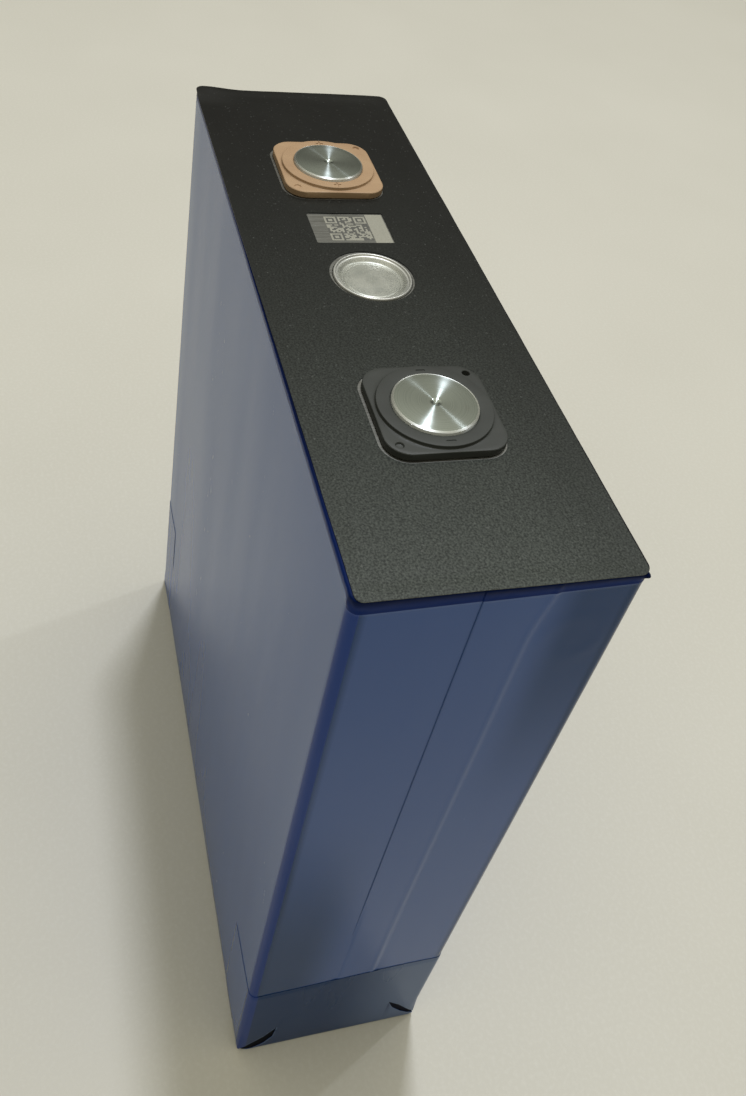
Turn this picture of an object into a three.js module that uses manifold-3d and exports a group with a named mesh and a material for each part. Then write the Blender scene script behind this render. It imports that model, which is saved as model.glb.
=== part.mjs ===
// A large prismatic lithium cell: a welded aluminium can in blue insulating film, with a black film
// on its lid, two round weld terminals in plastic frames, a burst vent and two wound electrode rolls.
//
// Millimetres, +Z up. The origin is the middle of the underside. +X points to the negative terminal
// and +Y goes across the thickness.
import * as THREE from 'three';
import { mergeVertices } from 'three/addons/utils/BufferGeometryUtils.js';
import Module from 'manifold-3d';

// ---- Driving dimensions ----------------------------------------------------------------------

const BODY_LENGTH = 173.9; // over the wrap, along X
const BODY_THICKNESS = 53.5; // over the wrap, along Y
const BODY_HEIGHT = 204.9; // from the underside to the face of the top film
const CELL_HEIGHT = 207.8; // from the underside to the weld faces
const EDGE_RADIUS = 2.4; // upright edges, over the wrap
const LEAST_RADIUS = 0.5; // upright edges of the innermost pieces
const TERMINAL_X = 44.5; // from the middle to each terminal's axis

const WRAP_FILM = 0.4; // blue film, with room for its overlaps
const TOP_FILM = 0.15; // black film
const FIT = 0.05; // room left between pieces that lie against each other
const CAN_WALL = 0.8;
const CAN_FLOOR = 1.5;
const LID_THICKNESS = 2.5;

// ---- Levels and insets worked out from them ------------------------------------------------------

// An inset is how far a piece's outline lies inside the wrap's outer face, all round.
const CAN_INSET = WRAP_FILM + FIT;
const BORE_INSET = CAN_INSET + CAN_WALL;
const LID_INSET = BORE_INSET + FIT;

const CAN_BOTTOM = WRAP_FILM + FIT;
const LID_TOP = BODY_HEIGHT - TOP_FILM - FIT;
const LID_BOTTOM = LID_TOP - LID_THICKNESS;

const PATCH_HEIGHT = 43; // blue corner patches at the foot of each narrow face
const PATCH_RETURN = { negative: 23, positive: 12 }; // along the large faces
const PATCH_JOINT = 0.3; // gap between a patch and the side wrap

const VENT_RADIUS = 8.8;
const VENT_RIM = BODY_HEIGHT + 0.3;
const VENT_OPENING = 6.6;
const FILLER = { x: 21, boreRadius: 2, capRadius: 4.9, capHeight: 0.9 };

// Windows of the top film.
const TERMINAL_WINDOW = { x: 0.3, y: -0.2, play: 0.8 };
const VENT_WINDOW = { x: -0.3, y: 0, radius: 9.45 };
const CODE_WINDOW = { x: -19.4, length: 12.3, width: 18.2 };

const FRAME_SIZE = 24.4; // the plastic frame of a terminal, a square with round corners
const FRAME_CORNER = 5;
const FRAME_RISE = 1.5; // above the top film
const COLLAR_RADIUS = 11.4;
const COLLAR_RISE = 2.3; // above the top film
const BLOCK_RADIUS = 8.45;
const BLOCK_FLANGE = 9.6;
const BLOCK_CHAMFER = 0.5;
const KEY_HOLE = { radius: 0.85, depth: 1.2, offset: 9.6 };

const RIVET_RADIUS = 3.4;
const SEAL_RADIUS = 5.1;

const BAG_INSET = BORE_INSET + 0.15;
const BAG_FILM = 0.2;
const TAPE = { thickness: 0.15, width: 30, height: 60, x: 50 };
const ROLL_TOP = 190.8;
const COLLECTOR = { length: 40, width: 42, thickness: 1.2 };
const TAB = { length: 34, thickness: 1, inner: 4, leg: 12.6, bend: 1.5 };

// Up through a terminal above the lid.
const BLOCK_LOW = LID_TOP + 0.6;
const BLOCK_STEP = BLOCK_LOW + 1.2;
const RIVET_TOP = BLOCK_LOW + 1.6;
const FRAME_TOP = BODY_HEIGHT + FRAME_RISE;
const COLLAR_TOP = BODY_HEIGHT + COLLAR_RISE;

// Down from the lid: the insulator, the rivet's flange, then the collector.
const INSULATOR = { inset: BORE_INSET + 0.55, high: LID_BOTTOM - FIT, low: LID_BOTTOM - 1.3 };
const RIVET_FLANGE = { radius: 8.5, high: INSULATOR.low - FIT, low: INSULATOR.low - 1.15 };
const COLLECTOR_TOP = RIVET_FLANGE.low - FIT;
const COLLECTOR_LOW = COLLECTOR_TOP - COLLECTOR.thickness;

// Up from the can's floor: the support plate, the bag, the binding tape, then the rolls.
const SUPPORT_LOW = CAN_BOTTOM + CAN_FLOOR + FIT;
const SUPPORT_TOP = SUPPORT_LOW + 1;
const BAG_LOW = SUPPORT_TOP + FIT;
const TAPE_LOW = BAG_LOW + BAG_FILM + FIT;
const ROLL_LOW = TAPE_LOW + TAPE.thickness + FIT;

// Out from the middle plane: the rolls' inner faces, their outer faces, then the tape's.
const TAPE_HALF = BODY_THICKNESS / 2 - BAG_INSET - BAG_FILM - 0.1;
const ROLL_OUTER = TAPE_HALF - TAPE.thickness - FIT;
const ROLL_INNER = 0.15;

const INNER_SIDES = 24; // facets round a hidden round piece
const OUTER_SIDES = 40; // facets round a visible one

// ---- Materials --------------------------------------------------------------------------------

function finish(color, roughness, metalness = 0, opacity = 1) {
  return new THREE.MeshStandardMaterial({
    color,
    roughness,
    metalness,
    opacity,
    transparent: opacity < 1,
  });
}

const aluminium = finish(0xb9bab6, 0.35, 1);
const turnedAluminium = finish(0xc9cac6, 0.22, 1);
const copper = finish(0xb87352, 0.35, 1);
const blueFilm = finish(0x26336e, 0.22);
const blackFilm = finish(0x2b2e2c, 0.65);
const blackPlastic = finish(0x3b3e3c, 0.55);
const tanPlastic = finish(0xb08a6c, 0.5);
const innerPlastic = finish(0x1d1e20, 0.6);
const rubber = finish(0x222222, 0.8);
const clearFilm = finish(0xe6e8e6, 0.08, 0, 0.35);
const bagFilm = finish(0xcfd6dc, 0.3);
const tape = finish(0x3d7f57, 0.4);
const separator = finish(0xd8d6cc, 0.7);

// ---- Solids from three.js geometry -----------------------------------------------------------

const wasm = await Module();
wasm.setup();

/** A closed geometry as a solid that can be joined and cut. */
function solidFrom(geometry) {
  geometry.deleteAttribute('normal');
  geometry.deleteAttribute('uv');
  const merged = mergeVertices(geometry);
  return new wasm.Manifold(
    new wasm.Mesh({
      numProp: 3,
      vertProperties: new Float32Array(merged.attributes.position.array),
      triVerts: new Uint32Array(merged.index.array),
    }),
  );
}

/** A solid as the geometry of one named mesh, shaded flat. */
function meshOf(name, solid, material) {
  const { vertProperties, triVerts } = solid.getMesh();
  const shared = new THREE.BufferGeometry();
  shared.setAttribute('position', new THREE.BufferAttribute(vertProperties, 3));
  shared.setIndex(new THREE.BufferAttribute(triVerts, 1));
  const geometry = shared.toNonIndexed();
  geometry.computeVertexNormals();
  const mesh = new THREE.Mesh(geometry, material);
  mesh.name = name;
  return mesh;
}

/** A rectangle with round corners, centred on x, y. */
function roundRect(length, width, radius, x = 0, y = 0) {
  const right = length / 2 - radius;
  const top = width / 2 - radius;
  const shape = new THREE.Shape();
  shape.absarc(x + right, y - top, radius, -Math.PI / 2, 0);
  shape.absarc(x + right, y + top, radius, 0, Math.PI / 2);
  shape.absarc(x - right, y + top, radius, Math.PI / 2, Math.PI);
  shape.absarc(x - right, y - top, radius, Math.PI, Math.PI * 1.5);
  shape.closePath();
  return shape;
}

/** The body's outline, moved in by an inset. */
function bodyOutline(inset) {
  const radius = Math.max(EDGE_RADIUS - inset, LEAST_RADIUS);
  return roundRect(BODY_LENGTH - 2 * inset, BODY_THICKNESS - 2 * inset, radius);
}

/** A flat-sided solid of an outline, from one level to another. */
function slab(outline, low, high, arcSteps = 4) {
  const geometry = new THREE.ExtrudeGeometry(outline, {
    depth: high - low,
    bevelEnabled: false,
    curveSegments: arcSteps,
  });
  return solidFrom(geometry.translate(0, 0, low));
}

/** The wall between two insets of the body's outline. */
function wall(outerInset, innerInset, low, high) {
  const core = slab(bodyOutline(innerInset), low - 1, high + 1);
  return slab(bodyOutline(outerInset), low, high).subtract(core);
}

/** An upright cylinder. */
function rod(radius, low, high, x = 0, y = 0, sides = INNER_SIDES) {
  const geometry = new THREE.CylinderGeometry(radius, radius, high - low, sides);
  geometry.rotateX(Math.PI / 2).translate(x, y, (low + high) / 2);
  return solidFrom(geometry);
}

/** A block between two corners. */
function block(low, high) {
  const size = high.map((value, axis) => value - low[axis]);
  const centre = high.map((value, axis) => (value + low[axis]) / 2);
  return solidFrom(new THREE.BoxGeometry(...size).translate(...centre));
}

/** A solid turned about an upright axis from [radius, level] points, which go up its outer side. */
function turned(profile, sides = INNER_SIDES) {
  const points = profile.map(([radius, level]) => new THREE.Vector2(radius, level));
  return solidFrom(new THREE.LatheGeometry(points, sides).rotateX(Math.PI / 2));
}

/** Everything on one end's side of a plane x = start, up to the far end of the body. */
function endSpace(side, start, low, high) {
  const near = side * start;
  const far = side * BODY_LENGTH;
  return block(
    [Math.min(near, far), -BODY_THICKNESS, low],
    [Math.max(near, far), BODY_THICKNESS, high],
  );
}

// ---- Can, lid and films -----------------------------------------------------------------------

/** A block of the body's outline with both ends' edges rounded over. */
function roundedBlank(inset, low, high, edge) {
  const geometry = new THREE.ExtrudeGeometry(bodyOutline(inset + edge), {
    depth: high - low - 2 * edge,
    bevelThickness: edge,
    bevelSize: edge,
    bevelSegments: 2,
    curveSegments: 4,
  });
  return solidFrom(geometry.translate(0, 0, low + edge));
}

/** The drawn can, open at the top, with its floor's edge rounded more than its mouth's. */
function makeCan() {
  const floorEdge = 1.4;
  const mouthEdge = 0.4;
  const drawn = roundedBlank(CAN_INSET, CAN_BOTTOM, LID_TOP + 10, floorEdge);
  const trimmed = roundedBlank(CAN_INSET, CAN_BOTTOM - 10, LID_TOP, mouthEdge);
  const inside = slab(bodyOutline(BORE_INSET), CAN_BOTTOM + CAN_FLOOR, LID_TOP + 1);
  return drawn.intersect(trimmed).subtract(inside);
}

/** The lid, with its holes for the rivets, the vent and the filler. */
function makeLid() {
  const through = (radius, x) => rod(radius, LID_BOTTOM - 1, LID_TOP + 1, x);
  const ventSeat = rod(VENT_RADIUS + 0.15, LID_TOP - 1.2, LID_TOP + 1, 0, 0, OUTER_SIDES);
  const capSeat = rod(FILLER.capRadius + 0.1, LID_TOP - 1, LID_TOP + 1, FILLER.x);
  return slab(bodyOutline(LID_INSET), LID_BOTTOM, LID_TOP)
    .subtract(through(SEAL_RADIUS + 0.1, TERMINAL_X))
    .subtract(through(SEAL_RADIUS + 0.1, -TERMINAL_X))
    .subtract(through(VENT_OPENING + 0.3, 0))
    .subtract(ventSeat)
    .subtract(through(FILLER.boreRadius, FILLER.x))
    .subtract(capSeat);
}

/** The space of a corner patch: the foot of one narrow face and a return along the large faces. */
function patchSpace(side, name, joint) {
  const start = BODY_LENGTH / 2 - PATCH_RETURN[name] - joint;
  return endSpace(side, start, CAN_BOTTOM - 1, PATCH_HEIGHT + joint);
}

/** The blue side wrap: four walls, cut away where the patches lie. */
function makeSideWrap() {
  return wall(0, WRAP_FILM, CAN_BOTTOM, LID_TOP)
    .subtract(patchSpace(1, 'negative', PATCH_JOINT))
    .subtract(patchSpace(-1, 'positive', PATCH_JOINT));
}

function makePatch(side, name) {
  const film = wall(0, WRAP_FILM, CAN_BOTTOM, PATCH_HEIGHT);
  return film.intersect(patchSpace(side, name, 0));
}

function makeBottomFilm() {
  return slab(bodyOutline(0), 0, WRAP_FILM);
}

/** The black film, a little inside the wrap's edge, with its windows. */
function makeTopFilm() {
  const inset = 0.45;
  const windowSize = FRAME_SIZE + TERMINAL_WINDOW.play;
  const windowCorner = FRAME_CORNER + TERMINAL_WINDOW.play / 2;
  const low = BODY_HEIGHT - TOP_FILM;
  const cutLow = low - 1;
  const cutHigh = BODY_HEIGHT + 1;
  let film = slab(bodyOutline(inset), low, BODY_HEIGHT);
  for (const side of [-1, 1]) {
    const x = side * TERMINAL_X + TERMINAL_WINDOW.x;
    const hole = roundRect(windowSize, windowSize, windowCorner, x, TERMINAL_WINDOW.y);
    film = film.subtract(slab(hole, cutLow, cutHigh));
  }
  const { x, length, width } = CODE_WINDOW;
  const codeHole = block(
    [x - length / 2, -width / 2, cutLow],
    [x + length / 2, width / 2, cutHigh],
  );
  const vent = VENT_WINDOW;
  const ventHole = rod(vent.radius, cutLow, cutHigh, vent.x, vent.y, OUTER_SIDES);
  return film.subtract(codeHole).subtract(ventHole);
}

// ---- Vent and filler ----------------------------------------------------------------------------

/** The burst disc: a raised weld rim, a sloping wall and a thin scored floor. */
function makeVentDisc() {
  const seat = LID_TOP - 1.15;
  const rim = VENT_RIM;
  const dishTop = LID_TOP - 1.5;
  const dishBottom = dishTop - 0.35;
  return turned(
    [
      [0, dishBottom + 0.15],
      [VENT_OPENING - 1.8, dishBottom],
      [VENT_OPENING, dishBottom],
      [VENT_OPENING, seat],
      [VENT_RADIUS, seat],
      [VENT_RADIUS, rim - 0.25],
      [VENT_RADIUS - 0.3, rim],
      [VENT_RADIUS - 0.8, rim],
      [VENT_RADIUS - 1.1, rim - 0.45],
      [VENT_RADIUS - 1.9, rim - 0.6],
      [VENT_OPENING - 0.8, dishTop],
      [VENT_OPENING - 1.5, dishTop],
      [VENT_OPENING - 1.65, dishTop - 0.2],
      [VENT_OPENING - 1.8, dishTop],
      [0, dishTop + 0.15],
    ],
    OUTER_SIDES,
  );
}

/** The clear film that keeps dirt out of the vent, resting on the step inside its rim. */
function makeVentCover() {
  const low = VENT_RIM - 0.4;
  return rod(VENT_RADIUS - 1.25, low, low + 0.15, 0, 0, OUTER_SIDES);
}

function makeFillerPlug() {
  const radius = FILLER.boreRadius - 0.1;
  return turned([
    [0, LID_BOTTOM + 0.2],
    [radius - 0.4, LID_BOTTOM + 0.2],
    [radius, LID_BOTTOM + 0.7],
    [radius, LID_TOP - 1.1],
    [0, LID_TOP - 1.1],
  ]).translate(FILLER.x, 0, 0);
}

function makeFillerCap() {
  const top = LID_TOP - FIT;
  const bottom = top - FILLER.capHeight;
  return turned([
    [0, bottom],
    [FILLER.capRadius, bottom],
    [FILLER.capRadius, top - 0.15],
    [FILLER.capRadius - 0.15, top],
    [1.6, top],
    [1.3, top - 0.35],
    [0, top - 0.35],
  ]).translate(FILLER.x, 0, 0);
}

/** The grille under the vent, in line with the lower insulators. */
function makeVentGuard() {
  const halfLength = 15.1;
  const slot = { count: 5, pitch: 5, length: 3, width: 30 };
  let plate = slab(bodyOutline(INSULATOR.inset), INSULATOR.low, INSULATOR.high).intersect(
    block([-halfLength, -BODY_THICKNESS, 0], [halfLength, BODY_THICKNESS, BODY_HEIGHT]),
  );
  for (let i = 0; i < slot.count; i += 1) {
    const x = (i - (slot.count - 1) / 2) * slot.pitch;
    plate = plate.subtract(
      block(
        [x - slot.length / 2, -slot.width / 2, 0],
        [x + slot.length / 2, slot.width / 2, BODY_HEIGHT],
      ),
    );
  }
  return plate;
}

// ---- Terminals, each about its own axis --------------------------------------------------------

/** The plus or minus sign that is cut into the collar on one side of the block. */
function signMark(positive, side) {
  const mark = { length: 2, width: 0.5, depth: 0.2 };
  const x = (side * (BLOCK_RADIUS + COLLAR_RADIUS)) / 2;
  const bar = (along, across) =>
    block(
      [x - along / 2, -across / 2, COLLAR_TOP - mark.depth],
      [x + along / 2, across / 2, COLLAR_TOP + 1],
    );
  const minus = bar(mark.width, mark.length);
  return positive ? minus.add(bar(mark.length, mark.width)) : minus;
}

/** The plastic frame: a rounded square and a round collar that hold the block down. */
function makeFrame(positive) {
  const body = slab(roundRect(FRAME_SIZE, FRAME_SIZE, FRAME_CORNER), LID_TOP + FIT, FRAME_TOP);
  const collar = rod(COLLAR_RADIUS, FRAME_TOP - 0.5, COLLAR_TOP, 0, 0, OUTER_SIDES);
  const flangePocket = rod(BLOCK_FLANGE + 0.1, BLOCK_LOW - FIT, BLOCK_STEP + FIT);
  const throat = rod(BLOCK_RADIUS + 0.05, BLOCK_STEP, COLLAR_TOP + 1, 0, 0, OUTER_SIDES);
  const sealHole = rod(SEAL_RADIUS + 0.15, LID_TOP - 1, BLOCK_LOW);
  const keyHole = (sign) =>
    rod(
      KEY_HOLE.radius,
      FRAME_TOP - KEY_HOLE.depth,
      FRAME_TOP + 1,
      sign * KEY_HOLE.offset,
      -sign * KEY_HOLE.offset,
      16,
    );
  return body
    .add(collar)
    .subtract(flangePocket)
    .subtract(throat)
    .subtract(sealHole)
    .subtract(keyHole(1))
    .subtract(keyHole(-1))
    .subtract(signMark(positive, 1))
    .subtract(signMark(positive, -1));
}

/** The aluminium block, with the weld face that the busbar sits on. */
function makeBlock() {
  const pocket = RIVET_RADIUS + 0.1;
  return turned(
    [
      [pocket, BLOCK_LOW],
      [BLOCK_FLANGE, BLOCK_LOW],
      [BLOCK_FLANGE, BLOCK_STEP],
      [BLOCK_RADIUS, BLOCK_STEP],
      [BLOCK_RADIUS, CELL_HEIGHT - BLOCK_CHAMFER],
      [BLOCK_RADIUS - BLOCK_CHAMFER, CELL_HEIGHT],
      [0.9, CELL_HEIGHT],
      [0, CELL_HEIGHT - 0.4],
      [0, RIVET_TOP + FIT],
      [pocket, RIVET_TOP + FIT],
      [pocket, BLOCK_LOW],
    ],
    OUTER_SIDES,
  );
}

/** The rivet that carries the current through the lid: a spigot, a flange and a shank. */
function makeRivet() {
  return turned([
    [0, COLLECTOR_LOW],
    [3, COLLECTOR_LOW],
    [3, RIVET_FLANGE.low],
    [RIVET_FLANGE.radius, RIVET_FLANGE.low],
    [RIVET_FLANGE.radius, RIVET_FLANGE.high],
    [RIVET_RADIUS, RIVET_FLANGE.high],
    [RIVET_RADIUS, RIVET_TOP],
    [0, RIVET_TOP],
  ]);
}

/** The rubber ring that seals the rivet to the lid, a flange below it and a sleeve through it. */
function makeSeal() {
  const bore = RIVET_RADIUS + 0.1;
  return turned([
    [bore, INSULATOR.low],
    [SEAL_RADIUS + 1.7, INSULATOR.low],
    [SEAL_RADIUS + 1.7, INSULATOR.high],
    [SEAL_RADIUS, INSULATOR.high],
    [SEAL_RADIUS, BLOCK_LOW - 0.1],
    [bore, BLOCK_LOW - 0.1],
    [bore, INSULATOR.low],
  ]);
}

/** The plate that joins both rolls' tabs to the rivet, slotted beside the rivet. */
function makeCollector() {
  const slotY = 9;
  const slotLength = 14;
  const slotWidth = 1.6;
  let plate = slab(
    roundRect(COLLECTOR.length, COLLECTOR.width, 3),
    COLLECTOR_LOW,
    COLLECTOR_TOP,
  ).subtract(rod(3.1, 0, CELL_HEIGHT));
  for (const y of [-slotY, slotY]) {
    const slot = roundRect(slotLength, slotWidth, slotWidth / 2 - 0.01, 0, y);
    plate = plate.subtract(slab(slot, 0, CELL_HEIGHT, 2));
  }
  return plate;
}

/** A stack of foils from the middle of one roll's top, bent in under the collector. */
function makeTab(rollSide) {
  const top = COLLECTOR_LOW - FIT;
  const bottom = ROLL_TOP + 0.1;
  const { inner, leg, bend, thickness } = TAB;
  const out = leg + thickness / 2;
  const profile = new THREE.Shape();
  profile.moveTo(rollSide * inner, top - thickness);
  profile.lineTo(rollSide * inner, top);
  profile.lineTo(rollSide * (out - bend), top);
  profile.lineTo(rollSide * (out - bend * 0.3), top - bend * 0.3);
  profile.lineTo(rollSide * out, top - bend);
  profile.lineTo(rollSide * out, bottom);
  profile.lineTo(rollSide * (out - thickness), bottom);
  profile.lineTo(rollSide * (out - thickness), top - thickness);
  const geometry = new THREE.ExtrudeGeometry(profile, { depth: TAB.length, bevelEnabled: false });
  const upright = new THREE.Matrix4().makeBasis(
    new THREE.Vector3(0, 1, 0),
    new THREE.Vector3(0, 0, 1),
    new THREE.Vector3(1, 0, 0),
  );
  return solidFrom(geometry.applyMatrix4(upright).translate(-TAB.length / 2, 0, 0));
}

// ---- Insulation and rolls ----------------------------------------------------------------------

/** The plastic plate under one half of the lid, with a rim that keeps the rolls down. */
function makeLowerInsulator(side) {
  const rimWidth = 1.6;
  const rimLow = ROLL_TOP + 1;
  const { inset, low, high } = INSULATOR;
  const plate = slab(bodyOutline(inset), low, high);
  const rim = wall(inset, inset + rimWidth, rimLow, low + 0.5);
  const half = plate.add(rim).intersect(endSpace(side, 15.4, 0, BODY_HEIGHT));
  const open = half.subtract(rod(SEAL_RADIUS + 1.8, 0, BODY_HEIGHT, side * TERMINAL_X));
  return side > 0 ? open.subtract(rod(2.5, 0, BODY_HEIGHT, FILLER.x)) : open;
}

/** The plate that keeps the rolls off the can's rounded floor, with slots for the electrolyte. */
function makeSupportPlate() {
  const slot = { count: 5, pitch: 30, length: 16, width: 4 };
  let plate = slab(bodyOutline(INSULATOR.inset), SUPPORT_LOW, SUPPORT_TOP);
  for (let i = 0; i < slot.count; i += 1) {
    const x = (i - (slot.count - 1) / 2) * slot.pitch;
    const hole = roundRect(slot.length, slot.width, slot.width / 2 - 0.01, x);
    plate = plate.subtract(slab(hole, 0, BODY_HEIGHT, 2));
  }
  return plate;
}

/** The insulating film bag that holds both rolls, open at the top. */
function makeBag() {
  const inside = slab(bodyOutline(BAG_INSET + BAG_FILM), BAG_LOW + BAG_FILM, BODY_HEIGHT);
  return slab(bodyOutline(BAG_INSET), BAG_LOW, INSULATOR.low - 0.5).subtract(inside);
}

/** A flattened spiral roll, standing on its edge, with the thin gap left by its mandrel. */
function makeRoll(rollSide) {
  const thickness = ROLL_OUTER - ROLL_INNER;
  const length = BODY_LENGTH - 2 * (BAG_INSET + BAG_FILM) - 0.4;
  const y = (rollSide * (ROLL_OUTER + ROLL_INNER)) / 2;
  const core = { length: length - thickness, width: 0.8 };
  const roll = roundRect(length, thickness, thickness / 2 - 0.01, 0, y);
  const wound = slab(roll, ROLL_LOW, ROLL_TOP, 8);
  const gap = roundRect(core.length, core.width, core.width / 2 - 0.01, 0, y);
  return wound.subtract(slab(gap, 0, BODY_HEIGHT, 2));
}

/** A tape that binds both rolls, down one side, under them and up the other. */
function makeBindingTape() {
  const { thickness, width, height } = TAPE;
  const outer = block([-width / 2, -TAPE_HALF, TAPE_LOW], [width / 2, TAPE_HALF, height]);
  const inner = block(
    [-width, thickness - TAPE_HALF, TAPE_LOW + thickness],
    [width, TAPE_HALF - thickness, height + 1],
  );
  return outer.subtract(inner);
}

// ---- Assembly -----------------------------------------------------------------------------------

/** The pieces stacked on one terminal's axis. */
function makeTerminal(name, positive) {
  const terminal = new THREE.Group();
  const metal = positive ? aluminium : copper;
  terminal.add(
    meshOf(`${name}_terminal_frame`, makeFrame(positive), positive ? tanPlastic : blackPlastic),
    meshOf(`${name}_terminal_block`, makeBlock(), turnedAluminium),
    meshOf(`${name}_terminal_rivet`, makeRivet(), metal),
    meshOf(`${name}_seal_ring`, makeSeal(), rubber),
    meshOf(`${name}_collector`, makeCollector(), metal),
    meshOf(`${name}_tab_1`, makeTab(-1), metal),
    meshOf(`${name}_tab_2`, makeTab(1), metal),
  );
  return terminal;
}

const cell = new THREE.Group();

cell.add(
  meshOf('can', makeCan(), aluminium),
  meshOf('lid_plate', makeLid(), aluminium),
  meshOf('side_wrap', makeSideWrap(), blueFilm),
  meshOf('bottom_film', makeBottomFilm(), blueFilm),
  meshOf('top_film', makeTopFilm(), blackFilm),
  meshOf('vent_disc', makeVentDisc(), aluminium),
  meshOf('vent_cover_film', makeVentCover(), clearFilm),
  meshOf('vent_guard', makeVentGuard(), innerPlastic),
  meshOf('filler_plug', makeFillerPlug(), rubber),
  meshOf('filler_cap', makeFillerCap(), aluminium),
  meshOf('support_plate', makeSupportPlate(), innerPlastic),
  meshOf('insulating_bag', makeBag(), bagFilm),
);

const ENDS = [
  { name: 'negative', side: 1 },
  { name: 'positive', side: -1 },
];
for (const { name, side } of ENDS) {
  const terminal = makeTerminal(name, side < 0);
  terminal.position.x = side * TERMINAL_X;
  cell.add(
    terminal,
    meshOf(`${name}_corner_patch`, makePatch(side, name), blueFilm),
    meshOf(`${name}_lower_insulator`, makeLowerInsulator(side), innerPlastic),
  );
}

[-1, 1].forEach((side, index) => {
  const binding = meshOf(`binding_tape_${index + 1}`, makeBindingTape(), tape);
  binding.position.x = side * TAPE.x;
  cell.add(binding, meshOf(`electrode_roll_${index + 1}`, makeRoll(side), separator));
});

export default cell;
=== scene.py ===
import random
from math import copysign, cos, exp, hypot, pi, radians, sin, sqrt

import bmesh
import bpy
from mathutils import Matrix, Vector, noise


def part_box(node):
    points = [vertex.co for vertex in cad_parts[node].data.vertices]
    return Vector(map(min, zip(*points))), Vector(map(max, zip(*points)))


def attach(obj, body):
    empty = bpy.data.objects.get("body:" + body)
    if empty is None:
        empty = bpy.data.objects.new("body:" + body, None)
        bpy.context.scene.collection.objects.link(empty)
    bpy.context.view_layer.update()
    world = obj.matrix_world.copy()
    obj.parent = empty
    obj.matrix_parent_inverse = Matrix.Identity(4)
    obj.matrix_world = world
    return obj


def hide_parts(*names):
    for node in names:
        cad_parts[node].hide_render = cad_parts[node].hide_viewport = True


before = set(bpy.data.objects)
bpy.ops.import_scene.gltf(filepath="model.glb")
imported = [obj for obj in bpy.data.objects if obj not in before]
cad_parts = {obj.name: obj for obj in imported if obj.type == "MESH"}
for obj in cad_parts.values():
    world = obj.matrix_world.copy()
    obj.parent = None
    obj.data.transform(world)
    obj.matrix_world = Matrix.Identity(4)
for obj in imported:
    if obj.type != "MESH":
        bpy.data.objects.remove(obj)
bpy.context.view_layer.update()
scene = bpy.context.scene

# ---- Driving dimensions ----

MM = 0.001

WRAP_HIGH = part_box("side_wrap")[1]
CAN_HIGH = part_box("can")[1]
FILM_LOW, FILM_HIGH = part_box("top_film")
VENT_LOW, VENT_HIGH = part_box("vent_disc")

HALF_LENGTH = WRAP_HIGH.x
HALF_THICKNESS = WRAP_HIGH.y
WRAP_TOP = WRAP_HIGH.z
FILM_TOP = FILM_HIGH.z
EDGE_RADIUS = 2.4 * MM  # upright edges, over the wrap
FOOT_RADIUS = 1.3 * MM  # where the films turn under the cell

ROOM = HALF_LENGTH - CAN_HIGH.x  # for the films, between the can and the cell's outer box
BLUE_FILM = 0.1 * MM
LAYER = 0.125 * MM  # from one film to the next over it
TURNED_UNDER = 2.2 * MM  # flat border of the films under the cell

LAP_EDGE_Y = -3.9 * MM  # the wrap's outer edge, on the negative narrow face
LAP_HIDDEN_Y = 6.2 * MM  # the wrap's inner edge, under the lap
BAND_FOOT = WRAP_TOP - 2.5 * MM  # above it the wrap is loose on the narrow faces
SIDE_BAND_FOOT = WRAP_TOP - 1.25 * MM  # the same on the large faces
LIP_RISE = 0.08 * MM  # how high the wrap lies over the can's rim
LIP = [fold * MM for fold in (0.25, 0.6, 1.0, 1.5)]  # how far in it is folded over the rim

# Each corner patch's top edge follows its line some 1.2 mm lower: (across the narrow face and round its
# corners, height), in millimetres.
PATCH_TOP = {
    "negative": [
        (-48, 40), (-29, 41.2), (-24.2, 41.9), (-13.8, 42.5),
        (-0.4, 43.7), (12, 44.4), (25, 44.4), (48, 43.5),
    ],
    "positive": [(-48, 46), (-29, 46.2), (-22, 47), (0, 49), (22, 48.6), (29, 48.3), (48, 48.3)],
}
PATCH_HEIGHT = 45 * MM  # nominal: each column of a patch is then fitted to its line
PATCH_RETURN = {"negative": 20 * MM, "positive": 15.2 * MM}  # along the large faces

FILM_INSET = 0.2 * MM  # from the cell's outer box to the black film's edge
BARED_LIP = 0.7 * MM  # how much farther in that edge runs at the negative end of the -Y side

TERMINAL_X = 44.5 * MM
WELD_RADIUS = 8.45 * MM
WELD_CHAMFER = 0.4 * MM
TERMINAL_WINDOW = {"size": 25.2 * MM, "corner": 5.4 * MM, "shift": Vector((0.3 * MM, -0.3 * MM))}
CODE_WINDOW = {"centre": (-19.4 * MM, -0.2 * MM), "length": 12.4 * MM, "width": 18.4 * MM}
VENT_WINDOW = {"centre": (-0.3 * MM, 0.0), "radius": 9.45 * MM}

# The walk round the outline is a distance from the middle of the +X face, clockwise seen from above.
STRAIGHT_X = HALF_LENGTH - EDGE_RADIUS
STRAIGHT_Y = HALF_THICKNESS - EDGE_RADIUS
EDGE_ARC = EDGE_RADIUS * pi / 2
PERIMETER = 4 * (STRAIGHT_X + STRAIGHT_Y + EDGE_ARC)
EDGE_START, EDGE_END = STRAIGHT_Y, STRAIGHT_Y + EDGE_ARC

SIDES = 144  # round a turned piece


# ---- Node materials ----


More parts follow.
